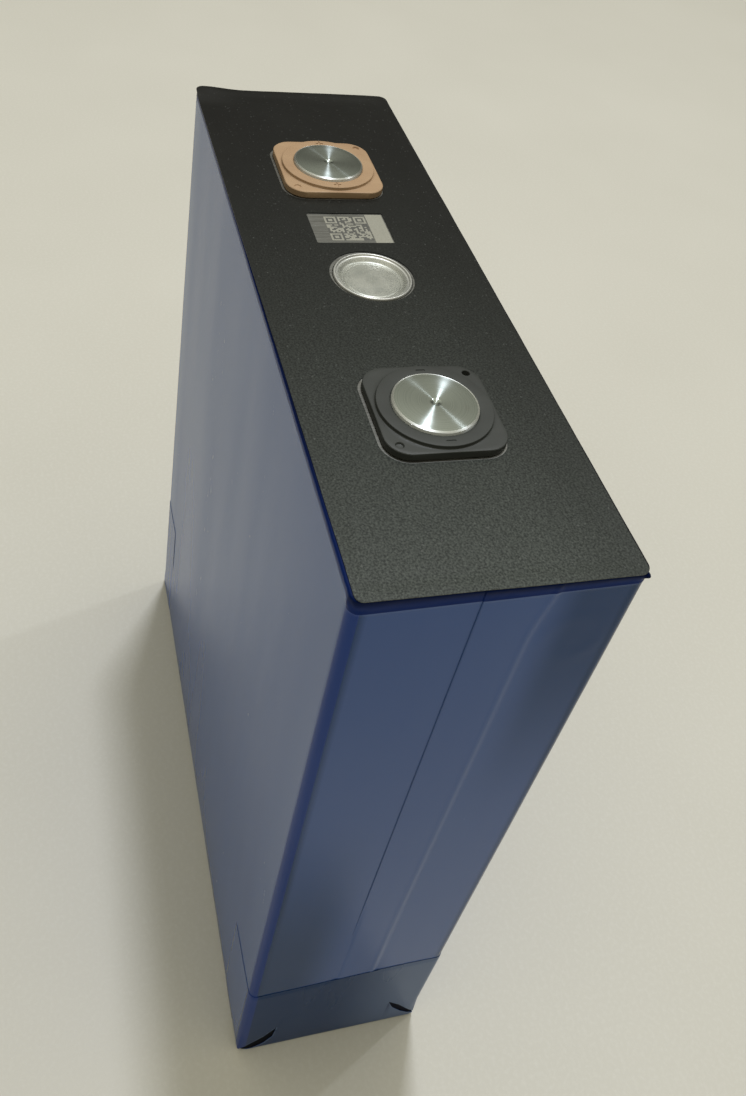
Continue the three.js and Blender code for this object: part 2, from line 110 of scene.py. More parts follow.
class Nodes:
    """A node tree, with a short call for each kind of step."""

    def __init__(self, tree):
        self.tree = tree

    def add(self, kind, inputs=None, **settings):
        """A shader node. Each input is a number, a colour, a vector or the socket that feeds it."""
        node = self.tree.nodes.new("ShaderNode" + kind)
        for key, value in settings.items():
            setattr(node, key, value)
        for key, value in (inputs or {}).items():
            self.feed(node.inputs[key], value)
        return node

    def feed(self, socket, value):
        if isinstance(value, bpy.types.NodeSocket):
            self.tree.links.new(value, socket)
        else:
            socket.default_value = (*value, 1.0) if socket.type == "RGBA" else value

    def object_space(self, stretch=(1, 1, 1)):
        """Places in the piece's own space, squeezed along each axis by stretch."""
        place = self.add("TexCoord").outputs["Object"]
        return self.add("Mapping", {"Vector": place, "Scale": stretch}).outputs["Vector"]

    def grain(self, size, detail=2.0, roughness=0.5, stretch=(1, 1, 1)):
        """A noise whose blobs are about this size in metres."""
        inputs = {"Scale": 1 / size, "Detail": detail, "Roughness": roughness}
        inputs["Vector"] = self.object_space(stretch)
        return self.add("TexNoise", inputs).outputs["Fac"]

    def remap(self, value, low, high, to_low=0.0, to_high=1.0):
        inputs = {"Value": value, "From Min": low, "From Max": high, "To Min": to_low, "To Max": to_high}
        return self.add("MapRange", inputs).outputs["Result"]

    def math(self, operation, first, second):
        return self.add("Math", {0: first, 1: second}, operation=operation).outputs[0]

    def blend(self, factor, first, second):
        """From the first colour to the second."""
        inputs = {"Factor": factor, 6: first, 7: second}
        return self.add("Mix", inputs, data_type="RGBA").outputs[2]

    def vary(self, source, low, high):
        """A number that goes from low to high with a noise."""
        return self.remap(source, 0.3, 0.7, low, high)

    def tint(self, source, body, pale):
        """A colour that goes from body to pale with a noise."""
        return self.blend(self.vary(source, 0, 1), body, pale)

    def bumps(self, height, strength, distance, under=None):
        """A normal that follows a height. under is a coarser normal below it."""
        inputs = {"Height": height, "Strength": strength, "Distance": distance}
        if under is not None:
            inputs["Normal"] = under
        return self.add("Bump", inputs).outputs["Normal"]


class Finish(Nodes):
    """A node material in the making."""

    def __init__(self, name):
        self.material = bpy.data.materials.new(name)
        self.material.use_nodes = True
        super().__init__(self.material.node_tree)
        self.shader = self.tree.nodes["Principled BSDF"]

    def done(self, **inputs):
        """The material, with these inputs of its shader. An input's name has _ for each space."""
        for key, value in inputs.items():
            self.feed(self.shader.inputs[key.replace("_", " ")], value)
        return self.material


def make_blue_film(name, body, pale, dark, gloss, specular):
    """Glossy blue film. The mesh's shade value, painted light and shade, pales it above 0 and darkens it
    below.
    """
    look = Finish("blue_film" + name)
    streaks = look.grain(16 * MM, 2, 0.45, (1, 1, 0.16))
    patches = look.grain(45 * MM)
    scuffs = look.grain(1.6 * MM, 4, 0.7, (1, 1, 0.25))
    shade = look.add("Attribute", attribute_name="shade").outputs["Fac"]
    worn = look.math("MULTIPLY", look.remap(streaks, 0.35, 0.75), look.vary(patches, 0.4, 1))
    tone = look.blend(look.remap(worn, 0, 1, 0, 0.22), body, pale)
    tone = look.blend(look.remap(scuffs, 0.68, 0.8, 0, 0.08), tone, pale)
    # Painted light and shade: the shade value pales or darkens the tone.
    tone = look.blend(look.remap(shade, 0, 1), tone, pale)
    tone = look.blend(look.remap(shade, 0, -1), tone, dark)
    rough = look.vary(streaks, gloss - 0.02, gloss + 0.03)
    rough = look.math("ADD", rough, look.remap(scuffs, 0.6, 0.8, 0, 0.04))
    soft = look.bumps(look.grain(9 * MM, 1), 0.25, 0.05 * MM)
    fine = look.bumps(look.grain(0.9 * MM, 2), 0.15, 0.01 * MM, soft)
    return look.done(Base_Color=tone, Roughness=rough, Normal=fine, IOR=1.5, Specular_IOR_Level=specular)


def make_black_film():
    """Black film with a sandy grain, lighter towards the negative end as a painted sheen of the overhead
    light.
    """
    look = Finish("black_film")
    sand = look.grain(0.42 * MM, 2, 0.6)
    coarse = look.grain(1.5 * MM)
    cloud = look.grain(14 * MM, 3, 0.6)
    glints = look.remap(look.grain(0.6 * MM, 1, 0.4), 0.72, 0.76)
    place = look.add("SeparateXYZ", {"Vector": look.object_space()}).outputs
    # Painted shade of the curled +Y edge: darker and rougher along it.
    border = look.remap(place["Y"], FILM_HIGH.y - 0.1 * MM, FILM_HIGH.y + 0.05 * MM)
    # Painted sheen of the overhead light: lighter and sandier towards the negative end, less so towards
    # +Y.
    painted_sheen = look.math("POWER", look.remap(place["X"], FILM_LOW.x, FILM_HIGH.x), 2)
    painted_sheen = look.math("MULTIPLY", painted_sheen, look.remap(place["Y"], 8 * MM, 24 * MM, 1, 0.7))
    film_tone = look.tint(cloud, (0.0015, 0.0017, 0.0016), (0.0035, 0.004, 0.0036))
    sheen_tone = look.blend(look.remap(sand, 0.35, 0.7), (0.018, 0.022, 0.019), (0.082, 0.094, 0.082))
    tone = look.blend(painted_sheen, film_tone, sheen_tone)
    tone = look.blend(look.math("MULTIPLY", glints, 0.2), tone, (0.2, 0.21, 0.2))
    tone = look.blend(border, tone, (0.0005, 0.0005, 0.0005))
    rough = look.math("ADD", look.vary(coarse, 0.37, 0.33), look.math("MULTIPLY", border, 0.3))
    rolling = look.bumps(coarse, 0.2, 0.04 * MM)
    return look.done(
        Base_Color=tone, Roughness=rough, Normal=look.bumps(sand, 0.4, 0.04 * MM, rolling),
        IOR=1.5, Specular_IOR_Level=0.26,
    )


def make_plastic(name, body, pale, roughness=0.45):
    """Moulded plastic with a fine eroded skin and faint flow marks."""
    look = Finish(name)
    skin = look.grain(0.35 * MM, 3, 0.6)
    flow = look.grain(6 * MM, 2, 0.5, (1, 0.4, 1))
    normal = look.bumps(skin, 0.35, 0.02 * MM, look.bumps(flow, 0.2, 0.08 * MM))
    rough = look.vary(skin, roughness - 0.05, roughness + 0.08)
    return look.done(
        Base_Color=look.tint(flow, body, pale), Roughness=rough, Normal=normal,
        IOR=1.5, Specular_IOR_Level=0.3,
    )


def make_turned_aluminium():
    """A weld face off the lathe: fine rings that draw highlights out, and a satin chamfer, paler in part
    as a painted highlight.
    """
    look = Finish("turned_aluminium")
    reach = look.add("VectorMath", {0: look.object_space((1, 1, 0))}, operation="LENGTH")
    reach = reach.outputs["Value"]

    def rings(pitch, detail):
        inputs = {"W": reach, "Scale": 1 / pitch, "Detail": detail}
        return look.add("TexNoise", inputs, noise_dimensions="1D").outputs["Fac"]

    fine_rings = rings(0.22 * MM, 2.0)
    dirt = look.remap(look.grain(2.4 * MM, 3, 0.6), 0.6, 0.75, 0, 0.35)
    chamfer = look.remap(reach, WELD_RADIUS - 1.1 * WELD_CHAMFER, WELD_RADIUS - WELD_CHAMFER)
    tone = look.tint(fine_rings, (0.365, 0.41, 0.385), (0.43, 0.475, 0.45))
    tone = look.blend(dirt, tone, (0.33, 0.34, 0.32))
    # The chamfer is paler and rougher: a satin cut, and in part a painted highlight of its bright ring.
    tone = look.blend(chamfer, tone, (0.85, 0.88, 0.85))
    rough = look.vary(rings(1.3 * MM, 1), 0.2, 0.23)
    rough = look.math("ADD", rough, look.math("MULTIPLY", chamfer, 0.25))
    tangent = look.add("Tangent", direction_type="RADIAL", axis="Z").outputs["Tangent"]
    normal = look.bumps(fine_rings, 0.035, 0.004 * MM)
    return look.done(
        Base_Color=tone, Roughness=rough, Normal=normal, Tangent=tangent,
        Metallic=1.0, Anisotropic=1.0, Anisotropic_Rotation=0.25,
    )


def make_rolled_metal(name, body, pale, roughness, stretch=(1, 0.06, 1), marks=0.4 * MM):
    """Rolled or drawn sheet with fine lines along one direction."""
    look = Finish(name)
    lines = look.grain(marks, 3, 0.65, stretch)
    cloud = look.remap(look.grain(12 * MM), 0.4, 0.7, 0, 0.3)
    tone = look.blend(cloud, look.tint(lines, body, pale), body)
    rough = look.vary(lines, roughness - 0.06, roughness + 0.08)
    return look.done(
        Base_Color=tone, Roughness=rough, Normal=look.bumps(lines, 0.25, 0.008 * MM), Metallic=1
    )


def make_vent_aluminium():
    """Pressed sheet: soft and a little uneven."""
    look = Finish("vent_aluminium")
    dents = look.grain(3.5 * MM)
    peel = look.grain(0.5 * MM, 3, 0.6)
    tone = look.tint(dents, (0.5, 0.51, 0.475), (0.66, 0.66, 0.615))
    normal = look.bumps(peel, 0.12, 0.01 * MM, look.bumps(dents, 0.3, 0.04 * MM))
    return look.done(Base_Color=tone, Roughness=look.vary(peel, 0.32, 0.42), Normal=normal, Metallic=0.65)


def make_clear_film():
    """Thin clear film with a soft gloss."""
    look = Finish("clear_film")
    look.tree.nodes.remove(look.shader)
    waves = look.bumps(look.grain(4 * MM, 1), 0.3, 0.04 * MM)
    haze = look.vary(look.grain(0.7 * MM, 3, 0.6), 0.07, 0.14)
    gloss = look.add("BsdfAnisotropic", {"Roughness": haze, "Normal": waves})
    clear = look.add("BsdfTransparent", {"Color": (0.93, 0.935, 0.925)})
    slant = look.add("LayerWeight", {"Blend": 0.5, "Normal": waves}).outputs["Facing"]
    share = look.remap(look.math("POWER", slant, 4), 0, 1, 0.03, 0.9)
    film = look.add("MixShader", {"Fac": share, 1: clear.outputs[0], 2: gloss.outputs[0]})
    look.feed(look.tree.nodes["Material Output"].inputs["Surface"], film.outputs[0])
    return look.material


def make_soft(name, body, pale, roughness, size, stretch=(1, 1, 1)):
    """Rubber, tape or inner film: one body colour with a fine grain."""
    look = Finish(name)
    fibres = look.grain(size, 3, 0.6, stretch)
    rough = look.vary(fibres, roughness - 0.06, roughness + 0.06)
    normal = look.bumps(fibres, 0.3, 0.03 * MM)
    return look.done(Base_Color=look.tint(fibres, body, pale), Roughness=rough, Normal=normal, IOR=1.5)


def make_etched(name, body, pale):
    """Laser-marked aluminium."""
    look = Finish(name)
    frost = look.grain(0.15 * MM, 2, 0.6)
    lines = look.remap(look.grain(0.5 * MM, 2, 0.5, (0.1, 1, 1)), 0.5, 0.7, 0, 0.3)
    tone = look.blend(lines, look.tint(frost, body, pale), body)
    return look.done(
        Base_Color=tone, Roughness=look.vary(frost, 0.5, 0.62), Metallic=0.1, Specular_IOR_Level=0.3
    )


def make_floor_material():
    """Plain pale floor with a faint fine speckle."""
    look = Finish("floor")
    speckle = look.grain(1.4 * MM, 2, 0.6)
    tone = look.tint(look.grain(120 * MM), (0.60, 0.585, 0.515), (0.625, 0.61, 0.54))
    tone = look.blend(look.remap(speckle, 0.45, 0.75, 0, 0.35), tone, (0.70, 0.69, 0.63))
    normal = look.bumps(speckle, 0.12, 0.1 * MM)
    return look.done(
        Base_Color=tone, Roughness=look.vary(speckle, 0.42, 0.55), Normal=normal,
        IOR=1.45, Specular_IOR_Level=0.3,
    )


BLUE = make_blue_film("", (0.055, 0.115, 0.34), (0.125, 0.195, 0.4), (0.0005, 0.036, 0.14), 0.23, 0.2)
# Loose film at the wrap's top: its own deeper blue, which the shade value darkens into painted shade under
# the black film's edge.
LOOSE_SHADED_BLUE = make_blue_film(
    "_loose_shaded", (0.006, 0.025, 0.15), (0.015, 0.05, 0.25), (0.001, 0.005, 0.032), 0.3, 0.06
)
# Near-black wrap under the corner patches: the painted shadow that shows through their slits.
SLIT_SHADOW_BLUE = make_blue_film(
    "_slit_shadow", (0.002, 0.003, 0.012), (0.004, 0.006, 0.02), (0.001, 0.002, 0.006), 0.6, 0.03
)
# Patch film over the wrap; the shade value darkens it as a painted dark reflection of the floor's shadow.
DOUBLED_SHADED_BLUE = make_blue_film(
    "_doubled_shaded", (0.12, 0.18, 0.33), (0.16, 0.22, 0.37), (0.0003, 0.03, 0.12), 0.28, 0.1
)
# Film stretched over the upright edges; the shade value darkens it further as a painted dark reflection.
TAUT_SHADED_BLUE = make_blue_film("_taut_shaded", (0.05, 0.1, 0.36), (0.09, 0.15, 0.42), (0.01, 0.045, 0.24), 0.34, 0.12)
BLACK_FILM = make_black_film()
PLASTIC = {
    "negative": make_plastic("black_plastic", (0.038, 0.041, 0.037), (0.049, 0.053, 0.048)),
    "positive": make_plastic("tan_plastic", (0.38, 0.245, 0.14), (0.44, 0.3, 0.175)),
}
TURNED = make_turned_aluminium()
VENT = make_vent_aluminium()
CLEAR = make_clear_film()
ETCHED = make_etched("etched_aluminium", (0.27, 0.265, 0.215), (0.38, 0.375, 0.315))
BURNT = make_etched("burnt_aluminium", (0.08, 0.08, 0.072), (0.12, 0.12, 0.108))
ROLLED = make_rolled_metal("lid_aluminium", (0.18, 0.18, 0.163), (0.25, 0.25, 0.225), 0.42)
CAN = make_rolled_metal("can_aluminium", (0.55, 0.55, 0.53), (0.68, 0.68, 0.66), 0.35, (1, 1, 0.05))
FOIL = make_rolled_metal(
    "foil_aluminium", (0.6, 0.6, 0.6), (0.75, 0.75, 0.74), 0.28, (1, 1, 0.3), 1.5 * MM
)
COPPER = make_rolled_metal("copper", (0.55, 0.24, 0.13), (0.72, 0.36, 0.22), 0.34)
INNER_PLASTIC = make_plastic("inner_plastic", (0.02, 0.021, 0.022), (0.03, 0.031, 0.033), 0.5)
RUBBER = make_soft("rubber", (0.012, 0.012, 0.012), (0.03, 0.03, 0.03), 0.75, 0.4 * MM)
BAG = make_soft("bag_film", (0.5, 0.54, 0.57), (0.62, 0.66, 0.68), 0.3, 8 * MM)
TAPE = make_soft("tape", (0.03, 0.17, 0.08), (0.06, 0.24, 0.12), 0.4, 2 * MM, (0.2, 1, 1))
SEPARATOR = make_soft("separator", (0.62, 0.61, 0.56), (0.74, 0.73, 0.69), 0.7, 1.2 * MM, (0.15, 1, 1))

CAD_FINISHES = {
    "can": CAN,
    "lid_plate": ROLLED,
    "filler_plug": RUBBER,
    "filler_cap": ROLLED,
    "vent_guard": INNER_PLASTIC,
    "support_plate": INNER_PLASTIC,
    "insulating_bag": BAG,
}
for side in (1, 2):
    CAD_FINISHES[f"binding_tape_{side}"] = TAPE
    CAD_FINISHES[f"electrode_roll_{side}"] = SEPARATOR
for end, solid, foil in (("negative", COPPER, COPPER), ("positive", CAN, FOIL)):
    parts = {"terminal_rivet": solid, "collector": solid, "tab_1": foil, "tab_2": foil}
    parts.update(seal_ring=RUBBER, lower_insulator=INNER_PLASTIC)
    for part, finish in parts.items():
        CAD_FINISHES[f"{end}_{part}"] = finish

for node_name, finish in CAD_FINISHES.items():
    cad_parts[node_name].material_slots[0].material = finish


# ---- Mesh helpers ----


def ramp(value, low, high):
    """0 below low, 1 above high, and smooth between."""
    share = min(1.0, max(0.0, (value - low) / (high - low)))
    return share * share * (3 - 2 * share)


def fall(value, low, high):
    return 1 - ramp(value, low, high)


def hump(value, centre, width):
    return exp(-(((value - centre) / width) ** 2))


def spread(start, stop, step):
    """Even steps from start up to, but not at, stop."""
    count = max(1, round(abs(stop - start) / step))
    return [start + (stop - start) * i / count for i in range(count)]


def spread_along(start, *legs):
    """Even steps from start through the stop of each leg, (stop, step), to the last one."""
    made = []
    for stop, step in legs:
        made += spread(start, stop, step)
        start = stop
    return made + [start]


def through(points, at):
    """The height at one place on a smooth line through a few points."""
    reach = min(max(at, points[0][0]), points[-1][0])
    after = next(i for i in range(1, len(points)) if reach <= points[i][0])
    before_x, before_y = points[after - 1]
    after_x, after_y = points[after]
    earlier = points[max(0, after - 2)]
    later = points[min(len(points) - 1, after + 1)]
    slope_in = (after_y - earlier[1]) / (after_x - earlier[0])
    slope_out = (later[1] - before_y) / (later[0] - before_x)
    span = after_x - before_x
    share = (reach - before_x) / span
    start = before_y + slope_in * span * share
    end = after_y - slope_out * span * (1 - share)
    return start + (end - start) * ramp(share, 0, 1)


def ripple(x, y, z, size):
    """Smooth noise from -1 to 1, with bumps of about this size."""
    return noise.noise(Vector((x, y, z)) / size)


def new_piece(name, mesh, materials, place=(0, 0, 0)):
    mesh.name = name
    for material in materials:
        mesh.materials.append(material)
    piece = bpy.data.objects.new(name, mesh)
    piece.location = place
    scene.collection.objects.link(piece)
    return piece


def new_tool(mesh, place=(0, 0, 0)):
    """A closed body to cut or trim a piece with."""
    return new_piece("tool", mesh, [], place)


def belongs(piece, slot, *stands_for):
    """The piece rides on the cell and stands for these CAD nodes, which it hides. The slot is not used."""
    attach(piece, "root")
    if stands_for:
        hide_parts(*stands_for)
    return piece


def sheet_mesh(columns, rows, point_at, shade_at=None, finish_at=None):
    """Columns of quads, with a shade value for each point and a finish for each quad."""
    mesh = bpy.data.meshes.new("sheet")
    cells = [(column, row) for column in columns for row in rows]
    height = len(rows)
    faces = []
    for i in range(len(columns) - 1):
        for j in range(height - 1):
            corner = i * height + j
            faces.append((corner, corner + 1, corner + height + 1, corner + height))
    mesh.from_pydata([point_at(*cell) for cell in cells], [], faces)
    mesh.shade_smooth()
    shades = mesh.attributes.new("shade", "FLOAT", "POINT")
    if shade_at:
        shades.data.foreach_set("value", [shade_at(*cell) for cell in cells])
    if finish_at:
        for face in mesh.polygons:
            face.material_index = finish_at(*cells[face.vertices[0]])
    return mesh


def thicken(piece, thickness):
    """The sheet gets its thickness on its inner side."""
    solidify = piece.modifiers.new("thickness", "SOLIDIFY")
    solidify.thickness = thickness
    solidify.offset = -1
    return piece


def as_mesh(shape):
    """The mesh of a closed shape, with its faces turned outwards."""
    bmesh.ops.recalc_face_normals(shape, faces=shape.faces)
    mesh = bpy.data.meshes.new("body")
    shape.to_mesh(mesh)
    shape.free()
    return mesh


def shape_with(piece, tools, operation="DIFFERENCE"):
    """Cuts or trims the piece with closed tools, which are used up."""
    for tool in tools:
        boolean = piece.modifiers.new("shape", "BOOLEAN")
        boolean.operation = operation
        boolean.solver = "EXACT"
        boolean.object = tool
    depsgraph = bpy.context.evaluated_depsgraph_get()
    made = bpy.data.meshes.new_from_object(piece.evaluated_get(depsgraph))
    piece.modifiers.clear()
    piece.data = made
    for tool in tools:
        bpy.data.objects.remove(tool)
    return piece


def soften(piece, angle=35):
    """Smooth shading with sharp edges kept."""
    piece.data.shade_smooth()
    piece.data.set_sharp_from_angle(angle=radians(angle))
    return piece


def loft(profile, radius_at=None, sides=SIDES, closed=False):
    """A closed body of rings about Z, from (radius, height, ...) points. radius_at reshapes a ring."""
    shape = bmesh.new()
    rings = []
    for point in profile:
        if point[0] < 1e-7:
            rings.append([shape.verts.new((0, 0, point[1]))])
            continue
        ring = []
        for i in range(sides):
            angle = 2 * pi * i / sides
            radius = radius_at(point, angle) if radius_at else point[0]
            ring.append(shape.verts.new((radius * cos(angle), radius * sin(angle), point[1])))
        rings.append(ring)
    pairs = list(zip(rings, rings[1:]))
    if closed:
        pairs.append((rings[-1], rings[0]))
    for pair in pairs:
        for i in range(sides):
            ends = [(ring[i % len(ring)], ring[(i + 1) % sides % len(ring)]) for ring in pair]
            corners = list(dict.fromkeys(ends[0] + ends[1][::-1]))  # a ring on the axis has one point
            if len(corners) > 2:
                shape.faces.new(corners)
    return as_mesh(shape)


def offsets(radius, height, points):
    """Profile points that are given in millimetres from one place."""
    return [(radius + x * MM, height + z * MM) for x, z in points]


def add_prism(shape, outline, low, high):
    """The faces of a closed upright body with this plan outline."""
    foot = [shape.verts.new((x, y, low)) for x, y in outline]
    head = [shape.verts.new((x, y, high)) for x, y in outline]
    faces = [shape.faces.new(foot), shape.faces.new(head)]
    for i in range(len(outline)):
        j = (i + 1) % len(outline)
        faces.append(shape.faces.new((foot[i], foot[j], head[j], head[i])))
    return faces


def prism(outline, low, high):
    shape = bmesh.new()
    add_prism(shape, outline, low, high)
    return as_mesh(shape)


def rounded_profile(points, radius, steps=4):
    """A profile with each inner corner turned into a small curve."""
    made = [tuple(points[0])]
    for before, corner, after in zip(points, points[1:], points[2:]):
        back = Vector(before[:2]) - Vector(corner[:2])
        on = Vector(after[:2]) - Vector(corner[:2])
        start = min(radius / back.length, 0.48)
        end = min(radius / on.length, 0.48)
        for i in range(steps + 1):
            share = i / steps
            weights = (start * (1 - share) ** 2, end * share**2)
            trio = zip(before, corner, after)
            made.append(tuple(c + (b - c) * weights[0] + (a - c) * weights[1] for b, c, a in trio))
    made.append(tuple(points[-1]))
    return made


def rounded_rectangle(length, width, corner, centre=(0, 0), steps=10):
    """Plan outline of a rectangle with round corners."""
    outline = []
    for quarter in range(4):
        middle_x = (length / 2 - corner) * (1 if quarter in (0, 3) else -1)
        middle_y = (width / 2 - corner) * (1 if quarter in (0, 1) else -1)
        for i in range(steps + 1):
            angle = pi / 2 * (quarter + i / steps)
            x = centre[0] + middle_x + corner * cos(angle)
            y = centre[1] + middle_y + corner * sin(angle)
            outline.append((x, y))
    return outline


def square_reach(half, corner, angle):
    """From a rounded square's middle to its outline, in one direction."""
    across, along = sorted((abs(cos(angle)), abs(sin(angle))))
    inner = half - corner
    if half * across / along <= inner:
        return half / along
    return inner * (across + along) + sqrt(corner**2 - (inner * (along - across)) ** 2)


def around(walk):
    """Where the outline is after this walk, and which way is out."""
    rest = -walk % PERIMETER
    for quarter in range(4):
        out = Matrix.Rotation(quarter * pi / 2, 2) @ Vector((1, 0))
        on = Vector((-out.y, out.x))
        first, second = (STRAIGHT_Y, STRAIGHT_X) if quarter % 2 == 0 else (STRAIGHT_X, STRAIGHT_Y)
        if rest <= first:
            return out * (second + EDGE_RADIUS) + on * rest, out
        rest -= first
        if rest <= EDGE_ARC:
            angle = rest / EDGE_RADIUS
            turned = out * cos(angle) + on * sin(angle)
            return out * second + on * first + turned * EDGE_RADIUS, turned
        rest -= EDGE_ARC
        if rest < second:
            return out * (second - rest) + on * (first + EDGE_RADIUS), on
        rest -= second
    return Vector((HALF_LENGTH, 0)), Vector((1, 0))


def film_point(walk, level, depth):
    """A point on a film. The level is a height, and below the foot's round it goes on under the cell."""
    place, out = around(walk)
    arc = FOOT_RADIUS * pi / 2
    if level >= FOOT_RADIUS:
        inset, height = depth, level
    elif level > FOOT_RADIUS - arc:
        angle = (FOOT_RADIUS - level) / FOOT_RADIUS
        inset = FOOT_RADIUS - (FOOT_RADIUS - depth) * cos(angle)
        height = FOOT_RADIUS - (FOOT_RADIUS - depth) * sin(angle)
    else:
        inset = FOOT_RADIUS + (FOOT_RADIUS - arc - level)
        height = depth
    place = place - out * inset
    return place.x, place.y, height


def layer_depth(count):
    """How deep in the cell's outer box the outer face of this many films lies."""
    return ROOM - 0.01 * MM - count * LAYER


def levels(*legs):
    """From the border under the cell, round the foot and up through the legs."""
    foot = FOOT_RADIUS * (1 - pi / 2)
    under = (foot, TURNED_UNDER / 2)
    return spread_along(foot - TURNED_UNDER, under, (FOOT_RADIUS, FOOT_RADIUS / 5), *legs)


# ---- The blue side wrap ----

STUCK, LOOSE, SHADED_UNDER_PATCH, TAUT = range(4)  # the order of the wrap's finishes


def face_y(walk):
    """The walk as a place across the +X face, which runs on past its upright edges."""
    rest = walk % PERIMETER
    return -rest if rest < PERIMETER / 2 else PERIMETER - rest


def ridge_y(height):
    """Where the wrap's hidden edge shows through its lap. It bends away near the top."""
    lean = 1.2 * MM * ramp(height, 44 * MM, 204 * MM)
    return LAP_HIDDEN_Y + lean + 2.2 * MM * ramp(height, 184 * MM, 206 * MM) ** 2


def narrowness(place):
    """1 on the narrow faces and their upright edges, 0 on the large faces."""
    return ramp(abs(place.x), STRAIGHT_X - 0.8 * MM, STRAIGHT_X + 0.8 * MM)


def edge_nearness(place):
    """1 on the four upright edges, fading to 0 beside them."""
    across = ramp(abs(place.y), STRAIGHT_Y - 1.2 * MM, STRAIGHT_Y + 0.5 * MM)
    return across * ramp(abs(place.x), STRAIGHT_X - 1.2 * MM, STRAIGHT_X + 0.5 * MM)


def wrap_depth(walk, height):
    """How far inside the outer box the wrap's outer face lies."""
    place, _ = around(walk)
    slack = 0.022 * MM * ripple(place.x, place.y, height, 21 * MM)
    slack += 0.008 * MM * ripple(place.x, place.y, height, 6 * MM)
    if walk <= PERIMETER / 2:
        return layer_depth(1) + slack
    y = face_y(walk)
    ridge = ridge_y(height)
    pressed = ramp(LAP_EDGE_Y + 1.3 * MM - y, 0, 1.2 * MM) * fall(height, 60 * MM, 95 * MM)
    raised = fall(y, ridge - 0.2 * MM, ridge + 1.1 * MM)
    raised -= 1.3 * pressed  # the cut edge goes flush low down
    bubble = hypot(y - 16.5 * MM, height - 188.5 * MM)
    depth = layer_depth(1) - LAYER * raised + slack
    depth -= 0.07 * MM * hump(bubble, 6 * MM, 1.5 * MM)
    return depth - 0.09 * MM * hump(y, ridge, 0.6 * MM)


def band_foot(walk):
    """The lower edge of the loose band under the black film."""
    y = face_y(walk)
    place, _ = around(walk)
    if abs(y) < EDGE_END:
        return BAND_FOOT + 0.5 * MM * y / STRAIGHT_Y
    return BAND_FOOT + 0.25 * MM * ripple(place.x, place.y, 0, 15 * MM)


def band_share(level):
    """0 at the foot of the loose band, and 1 at the wrap's top."""
    return (level - BAND_FOOT) / (WRAP_TOP - BAND_FOOT)


def ear(y, up):
    """The pinched tip of film that sticks out at one top corner."""
    return hump(y, EDGE_START + 1.9 * MM, 0.8 * MM) * hump(up, 0.66, 0.22)


def wrap_point(walk, level):
    """A point on the wrap, which ends in a loose band that folds in under the black film."""
    place, _ = around(walk)
    y = face_y(walk)
    stretch = ramp(level, BAND_FOOT - 12 * MM, BAND_FOOT)
    stretch *= fall(level, BAND_FOOT, WRAP_TOP)
    height = min(level, WRAP_TOP + LIP_RISE) + (band_foot(walk) - BAND_FOOT) * stretch
    up = band_share(level)
    depth = wrap_depth(walk, height) - 0.07 * MM * hump(up, 0.0, 0.12) * narrowness(place)
    least = 0.0
    if up > 0:
        crumple = 0.05 * MM * ripple(place.x, place.y, height, 1.7 * MM)
        crumple *= 1 + 5 * hump(y, -EDGE_START - 2.5 * MM, 4 * MM)  # most of all at the -Y corner
        depth += crumple * ramp(up, 0, 0.3)
        depth += 0.12 * MM * ramp(up, 0.8, 1.0) ** 2
        depth += max(0.0, level - WRAP_TOP)
        depth -= 0.9 * MM * ear(y, up)
        least = -1.0 * MM * ear(y, up)
    return film_point(walk, height, max(depth, least))


def wrap_shade(walk, level):
    """Painted light and shade on the wrap: painted shade under the black film's edge, darker upright edges
    (stretched film and a painted dark reflection), painted dark reflections on the +X face, painted pale
    reflections near the ends of the large faces, a painted highlight on the ridge over the lap, and a dark
    line at the lap's cut edge that is partly painted shadow. The ear is darker too.
    """
    y = face_y(walk)
    place, _ = around(walk)
    if wrap_finish(walk, level) == LOOSE:
        up = band_share(level)
        narrow = narrowness(place)
        # Painted shade under the black film's edge: darkest at the band's top and over the lip, less
        # towards the negative end.
        under_film_shade = 1.0 - 0.35 * ramp(place.x, 40 * MM, STRAIGHT_X)
        shade = -0.75 * ramp(up, 0.3, 0.85) * narrow
        shade -= under_film_shade * ramp(up, 0.85, 1.02) * (1 - narrow)
        return max(-1.0, shade - ear(y, up))
    # Painted dark reflection on the upright edges, where the film is also stretched.
    shade = -0.8 * edge_nearness(place)
    # Painted pale reflections near the ends of the large faces.
    if place.x < STRAIGHT_X:
        ends = fall(STRAIGHT_X - abs(place.x), 0, 14 * MM)
        shade += (1.0 if place.x < 0 else 0.25) * ends
    else:
        # Painted dark reflections on the upper right and the lower left of the +X face.
        shade -= 0.8 * ramp(y, 8 * MM, 16 * MM) * ramp(level, 120 * MM, 190 * MM)
        shade -= 0.9 * ramp(-y, 2 * MM, 16 * MM) * fall(level, 60 * MM, 140 * MM)
    if walk > PERIMETER / 2:
        # A painted highlight along the ridge, and a dark line at the lap's cut edge that is partly painted
        # shadow.
        fading = 1 - 0.6 * ramp(level, 185 * MM, 200 * MM)
        shade += 0.3 * hump(y, ridge_y(level), 0.4 * MM) * fading
        cut = ramp(LAP_EDGE_Y + 0.4 * MM - y, 0, 0.2 * MM)
        shade -= 0.45 * cut * ramp(level, 65 * MM, 95 * MM)
    return max(-1.0, shade)


